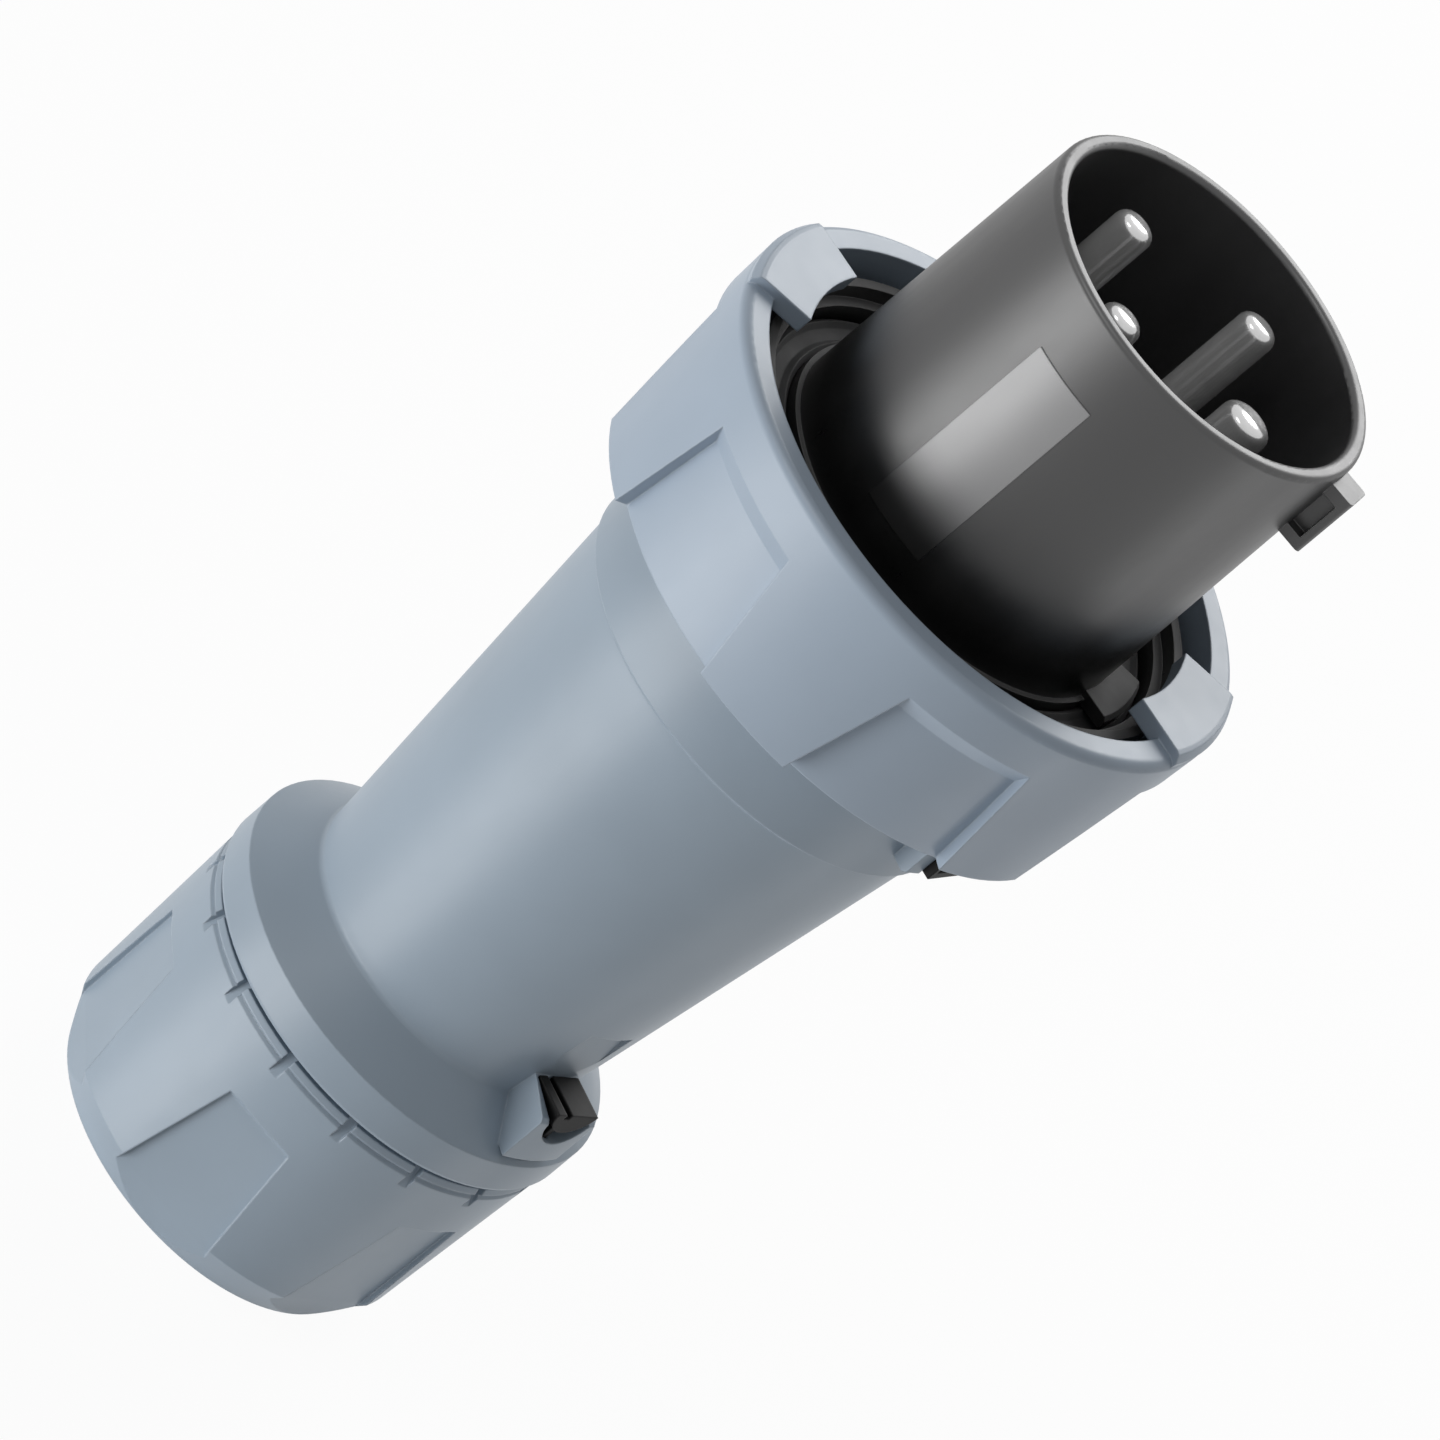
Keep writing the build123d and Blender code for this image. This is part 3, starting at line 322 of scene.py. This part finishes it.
def painted_shade_in_the_depth(tree, paint, dull):
    deep = by_height(tree, fade_top - fade_height, fade_top, 1.0, 0.0)
    # painted shade: the colour is mixed towards black below the fade
    paint = blend(tree, "MIX", maths(tree, "MULTIPLY", deep, fade_share), paint, painted_shade_black)
    upward = node(tree, "SeparateXYZ", i0=node(tree, "NewGeometry").outputs["Normal"]).outputs["Z"]
    change = maths(tree, "SUBTRACT", maths(tree, "MULTIPLY", upward, upward_matt), upright_gloss)
    return paint, maths(tree, "ADD", dull, maths(tree, "MULTIPLY", deep, change), True)


ring_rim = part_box("coupling_ring")[1].z
print("the fade starts", round((fade_top - ring_rim) * 1000, 1), "mm above the ring")

# %% [markdown]
# The shroud and its insert are glass-filled black polyamide. The skin is satin, so a soft light draws a long
# grey highlight on it. The carrier for the terminals is the same plastic from a rougher mould.

# %% Charcoal insert
dress("contact_insert", moulded("insert plastic", srgb(30, 30, 31), srgb(150, 150, 151), grain=1100.0,
                                rounding=0.0003, corner_shade_amount=0.4, reflect=0.95, deepen=painted_shade_in_the_depth))
dress("terminal_carrier", moulded("carrier plastic", srgb(40, 40, 41), srgb(95, 95, 97), rough=0.5))
print("insert and carrier are charcoal")

# %% [markdown]
# Both lock slides are small black mouldings with a matt skin that gives the thumb a hold. Their edges go grey
# where the thumb rubs them. The gland's inner parts are out of sight and get the same recipe in their own greys.

# %% Slides and gland parts
slide_black, slide_rubbed = srgb(8, 8, 8), srgb(64, 64, 65)
for part, name in (("front_lock_slide", "front slide plastic"), ("rear_lock_slide", "rear slide plastic")):
    dress(part, moulded(name, slide_black, slide_rubbed, rough=0.55, grain=1800.0, reflect=0.15))
gland_grey, gland_rubbed = srgb(92, 98, 104), srgb(140, 146, 152)
for part, name in (("thrust_ring", "thrust ring plastic"), ("clamp_cage", "clamp cage plastic")):
    dress(part, moulded(name, gland_grey, gland_rubbed, rough=0.45))
dress("slide_washer", moulded("slide washer plastic", srgb(205, 205, 200), srgb(225, 225, 222), rough=0.38))
print("small mouldings: two slides, two gland parts and the washer")

# %% [markdown]
# Rubber scatters light much more than hard plastic, and it picks up pale dust on its edges.
# The recipe is the same idea with a rough surface, a coarser bump and no polish on the edges.

# %% Sealing rubber
rubber_black, rubber_tones = srgb(34, 34, 35), [(0.3, 0.8), (0.7, 1.1)]
pale_dust, dust_share = srgb(95, 93, 90), 0.3
rubber_dull, rubber_spread, rubber_grain_depth = 0.66, 0.2, 0.00003


def rubber(name):
    material, tree, shader = fresh(name)
    skin = placed(tree, moulded_skin, Grain=900.0, Cloud=60.0)
    edges = placed(tree, rubbed_edges, Rounding=0.0004)
    paint = blend(tree, "MULTIPLY", 1.0, rubber_black, ramp(tree, skin["Tone"], rubber_tones))
    paint = blend(tree, "MIX", maths(tree, "MULTIPLY", edges["Rub"], dust_share), paint, pale_dust)
    tree.links.new(paint, shader.inputs["Base Color"])
    dull = maths(tree, "ADD", rubber_dull, maths(tree, "MULTIPLY", skin["Shine"], rubber_spread), True)
    tree.links.new(dull, shader.inputs["Roughness"])
    relief = node(tree, "Bump", Strength=0.5, Distance=rubber_grain_depth, Height=skin["Height"],
                  Normal=edges["Normal"])
    tree.links.new(relief.outputs[0], shader.inputs["Normal"])
    return material


seals = ("face_seal", "body_o_ring", "gland_seal", "seal_reducer")
for part in seals:
    dress(part, rubber(part + " rubber"))
print("rubber on", ", ".join(seals))

# %% [markdown]
# The end of a turned contact is slightly crowned, so that it finds its way into the socket.
# The model's end is flat, and a bump can tell the light otherwise: its height falls with the square of the
# distance from the pin's middle, which is very nearly what a ball's surface does.

# %% Crowned ends
crowned_end, crown_in, crown_out = shared(
    "crowned end",
    [("Middle", "Vector", None), ("Crown radius", "Float", 0.0048)],
    [("Height", "Float")],
)
spot = node(crowned_end, "TexCoord").outputs["Object"]
aside = node(crowned_end, "VectorMath", {"operation": "SUBTRACT"}, i0=spot, i1=crown_in["Middle"]).outputs[0]
aside = node(crowned_end, "VectorMath", {"operation": "MULTIPLY"}, i0=aside, i1=(1.0, 1.0, 0.0)).outputs[0]
squared = node(crowned_end, "VectorMath", {"operation": "DOT_PRODUCT"}, i0=aside, i1=aside).outputs["Value"]
drop = maths(crowned_end, "DIVIDE", squared, maths(crowned_end, "MULTIPLY", crown_in["Crown radius"], -2.0))
crowned_end.links.new(drop, crown_out["Height"])
print("crowned end:", len(crowned_end.nodes), "nodes")

# %% [markdown]
# The contacts are brass bar, turned on a lathe and nickel plated. The tool leaves fine rings round the pin,
# and plugging in leaves faint scratches along it. Rings depend only on the height, scratches on the angle,
# so two stretched noises draw both. The screws and clamps are zinc plated steel, which is duller and bluer.

# %% Plated contacts
ring_stretch, scratch_stretch = (60.0, 60.0, 9000.0), (2600.0, 2600.0, 30.0)
film_scale, film_tones, film_dull = 160.0, [(0.3, 0.88), (0.7, 1.0)], 0.06
scratch_stops, scratch_dull, scratch_share = [(0.5, 0.0), (0.75, 1.0)], 0.12, 0.3


def plated(name, colour, rough, ring_depth, metal=1.0, middle=None):
    """Plated metal with marks; middle is the axis of a pin whose end is crowned."""
    material, tree, shader = fresh(name)
    shader.inputs["Metallic"].default_value = metal
    spot = node(tree, "TexCoord").outputs["Object"]
    round_marks = node(tree, "Mapping", i0=spot, Scale=ring_stretch).outputs[0]
    rings = node(tree, "TexNoise", i0=round_marks, Scale=1.0, Detail=2.0, Roughness=0.5).outputs[0]
    along_marks = node(tree, "Mapping", i0=spot, Scale=scratch_stretch).outputs[0]
    scratches = node(tree, "TexNoise", i0=along_marks, Scale=1.0, Detail=3.0, Roughness=0.6).outputs[0]
    edges = placed(tree, rubbed_edges, Rounding=0.0003)
    film = node(tree, "TexNoise", i0=spot, Scale=film_scale, Detail=4.0, Roughness=0.6).outputs[0]
    paint = blend(tree, "MULTIPLY", 1.0, colour, ramp(tree, film, film_tones))
    tree.links.new(paint, shader.inputs["Base Color"])
    wear = maths(tree, "MULTIPLY", ramp(tree, scratches, scratch_stops), scratch_dull)
    wear = maths(tree, "ADD", wear, maths(tree, "MULTIPLY", film, film_dull))
    tree.links.new(maths(tree, "ADD", rough, wear, True), shader.inputs["Roughness"])
    marks = maths(tree, "ADD", rings, maths(tree, "MULTIPLY", scratches, scratch_share))
    relief = node(tree, "Bump", Strength=0.4, Distance=ring_depth, Height=marks, Normal=edges["Normal"]).outputs[0]
    if middle:
        crown = placed(tree, crowned_end, Middle=middle)["Height"]
        relief = node(tree, "Bump", Strength=1.0, Distance=1.0, Height=crown, Normal=relief).outputs[0]
    tree.links.new(relief, shader.inputs["Normal"])
    return material


zinc_colour, zinc_rough, zinc_ring_depth = (0.62, 0.64, 0.66, 1.0), 0.30, 0.00001
nickel_colour, nickel_rough, nickel_ring_depth = (0.88, 0.88, 0.88, 1.0), 0.12, 0.000004
zinc = plated("zinc plate", zinc_colour, zinc_rough, zinc_ring_depth)
for part in ("terminal_screws", "wire_clamps", "carrier_screw"):
    dress(part, zinc)
for part in ("pin_l1", "pin_l2", "pin_l3", "pin_earth"):
    low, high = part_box(part)
    middle = ((low + high) / 2).to_tuple()
    nickel = plated(part + " nickel", nickel_colour, nickel_rough, nickel_ring_depth, metal=0.5, middle=middle)
    dress(part, nickel)
print("nickel on four pins, zinc on the screws and clamps")

# %% [markdown]
# On the shroud sits a smooth, slightly raised field, where the mould carries an insert plate.
# A thin curved sheet could be cut from a cylinder, but it is quicker to spin one upright edge through the
# plate's angle and then give the sheet its thickness. It is sunk a hair, so no light gets under it.

# %% Smooth field on the shroud
shroud_foot, shroud_mouth = Vector((0.036, 0, 0.1896)), Vector((0.0355, 0, 0.252))
field_low, field_high = 0.1975, 0.2392
field_start, field_width = radians(-111.9), radians(23.0)
field_thickness, field_sunk, field_rounding = 0.0004, 0.0002, 0.00012


def on_shroud(height):
    """The point of the shroud's tapered wall at this height."""
    return shroud_foot.lerp(shroud_mouth, (height - shroud_foot.z) / (shroud_mouth.z - shroud_foot.z))


sunk = Vector((-field_sunk, 0, 0))
field = bmesh.new()
foot = field.verts.new(on_shroud(field_low) + sunk)
head = field.verts.new(on_shroud(field_high) + sunk)
upright = field.edges.new((foot, head))
bmesh.ops.rotate(field, verts=field.verts, matrix=Matrix.Rotation(field_start, 3, "Z"))
bmesh.ops.spin(field, geom=[foot, head, upright], angle=field_width, steps=24, axis=(0, 0, 1), cent=(0, 0, 0))
bmesh.ops.solidify(field, geom=field.faces[:], thickness=field_thickness)
sharp = [e for e in field.edges if e.is_manifold and e.calc_face_angle() > radians(60)]
bmesh.ops.bevel(field, geom=sharp, offset=field_rounding, segments=2, affect="EDGES", profile=0.5, material=-1)
bmesh.ops.recalc_face_normals(field, faces=field.faces)
field_mesh = bpy.data.meshes.new("smooth_field")
field.to_mesh(field_mesh)
field.free()
proud = max(v.co.xy.length - on_shroud(v.co.z).x for v in field_mesh.vertices)
print("field stands", round(proud * 1000, 2), "mm proud")

# %% [markdown]
# The plate in the mould is polished, so the field is smoother and paler than the grained shroud round it.
# It is the same plastic, so the recipe for moulded plastic serves, with a finer grain.
# Its colour is darkened towards the ring as painted shade, together with the shroud's, or its lower end would
# shine out of the shade.

# %% Finish of the field
field_shade_black, field_dark_below, field_clear_above = srgb(8, 8, 8), 0.2, 0.215


def painted_shade_at_the_foot(tree, paint, dull):
    clear = by_height(tree, field_dark_below, field_clear_above)
    # painted shade: the colour turns black towards the ring
    return blend(tree, "MIX", clear, field_shade_black, paint), dull


field_mesh.materials.append(moulded(
    "smooth field plastic", srgb(138, 138, 139), srgb(170, 170, 172), rough=0.36, grain=2400.0, rounding=0.0002,
    corner_shade_amount=0.2, reflect=0.85, grain_depth=0.000004, deepen=painted_shade_at_the_foot))
smooth_field = bpy.data.objects.new("smooth_field", field_mesh)
bpy.context.scene.collection.objects.link(smooth_field)
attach(smooth_field, "handle")
print("smooth field:", len(field_mesh.polygons), "faces, riding on the handle")

# %% [markdown]
# In such a picture everything round the plug is plain white, but that white must not light the plug by itself.
# Light Path tells what a ray is for. The rays that show the surroundings are the camera's, the mirrored ones and
# those through glass, and a 1 for any of them lets a material or the world be white for them alone.

# %% White where it is seen
def seen(tree, ray):
    mirrored = maths(tree, "MAXIMUM", ray["Is Glossy Ray"], ray["Is Transmission Ray"])
    return maths(tree, "MAXIMUM", ray["Is Camera Ray"], mirrored)


print("helper for the white surroundings ready")

# %% [markdown]
# Product pictures are often taken on a light table: a sheet of white acrylic with lamps above and below it.
# It is large enough to reach past the picture's edges, and it stands a hair under the plug, so that the two
# faces don't flicker through each other.

# %% Light table
table_half, table_gap = 6.0, 0.0002
sheet = bmesh.new()
bmesh.ops.create_grid(sheet, x_segments=8, y_segments=8, size=table_half)
bmesh.ops.translate(sheet, verts=sheet.verts, vec=(0, 0, cad_low.z - table_gap))
floor_mesh = bpy.data.meshes.new("floor")
sheet.to_mesh(floor_mesh)
sheet.free()
floor = bpy.data.objects.new("floor", floor_mesh)
bpy.context.scene.collection.objects.link(floor)
print("floor at", round(cad_low.z - table_gap, 4))

# %% [markdown]
# The sheet is seen as plain white, yet it keeps a share of white paint, so the plug's shadow still falls on it.
# It lets the light of the lower lamps through, which a Transparent shader does for shadow rays alone.

# %% White acrylic
glow_share, table_white, pure_white = 0.95, (0.9, 0.9, 0.9, 1), (1, 1, 1, 1)
acrylic = bpy.data.materials.new("white acrylic")
acrylic.use_nodes = True
wires = acrylic.node_tree
wires.nodes.clear()
ray = node(wires, "LightPath").outputs
diffuse = node(wires, "BsdfDiffuse", Color=table_white)
glow = node(wires, "Emission", Color=pure_white, Strength=1.0)
through = node(wires, "BsdfTransparent")
share = maths(wires, "MULTIPLY", seen(wires, ray), glow_share)
white = node(wires, "MixShader", i0=share, i1=diffuse.outputs[0], i2=glow.outputs[0])
table = node(wires, "MixShader", i0=ray["Is Shadow Ray"], i1=white.outputs[0], i2=through.outputs[0])
node(wires, "OutputMaterial", Surface=table.outputs[0])
floor_mesh.materials.append(acrylic)
print("white acrylic:", len(wires.nodes), "nodes")

# %% [markdown]
# A highlight tells where its lamp stands: mirror the line of sight about the surface there, and it points at it.
# The long highlight on the left of the shroud gives the key light, low and to the left, and the thin one on the
# right gives the second lamp. The light rims that face away from us are lit from behind, and a fourth lamp looks
# into the shroud's mouth and finds the contacts.
# Their strength is set so that a surface that faces the key shows its own colour.
# A lamp below the table is reached by shadow rays only, so multiple importance sampling is off for it.

# %% Soft boxes
lamp_distance, lamp_aim = 1.8, Vector((0, 0, 0.14))
soft_boxes = {  # where from, size in metres, power in watts
    "key": (Vector((-0.610, -0.632, -0.474)), 1.4, 22.5),
    "second": (Vector((0.878, 0.062, -0.474)), 0.6, 1.6),
    "behind": (Vector((0.0, 0.86, 0.50)), 1.2, 15.0),
    "mouth": (Vector((-0.50, -0.42, 0.76)), 0.8, 5.5),
}
for name, (direction, size, power) in soft_boxes.items():
    lamp = bpy.data.lights.new(name, "AREA")
    lamp.shape, lamp.size, lamp.energy = "DISK", size, power
    lamp.cycles.use_multiple_importance_sampling = direction.z > 0
    holder = bpy.data.objects.new(name, lamp)
    aim = direction.normalized()
    facing = aim.to_track_quat("Z", "Y").to_matrix().to_4x4()
    holder.matrix_world = Matrix.Translation(lamp_aim + aim * lamp_distance) @ facing
    bpy.context.scene.collection.objects.link(holder)
    print(name, [round(v, 2) for v in holder.location])

# %% [markdown]
# White walls round the table would light the plug from all sides and flatten it. So the world is pure white where
# it is seen or mirrored, and about a fifth as strong as a light.

# %% Studio air
air_light = 0.22
sky = bpy.data.worlds.new("studio")
bpy.context.scene.world = sky
sky.use_nodes = True
wires = sky.node_tree
wires.nodes.clear()
extra = maths(wires, "MULTIPLY", seen(wires, node(wires, "LightPath").outputs), 1.0 - air_light)
air = node(wires, "Background", Color=pure_white, Strength=maths(wires, "ADD", air_light, extra))
node(wires, "OutputWorld", Surface=air.outputs[0])
bpy.context.scene.view_settings.view_transform = "Standard"
print("air lights the plug with", air_light, "of what is seen")
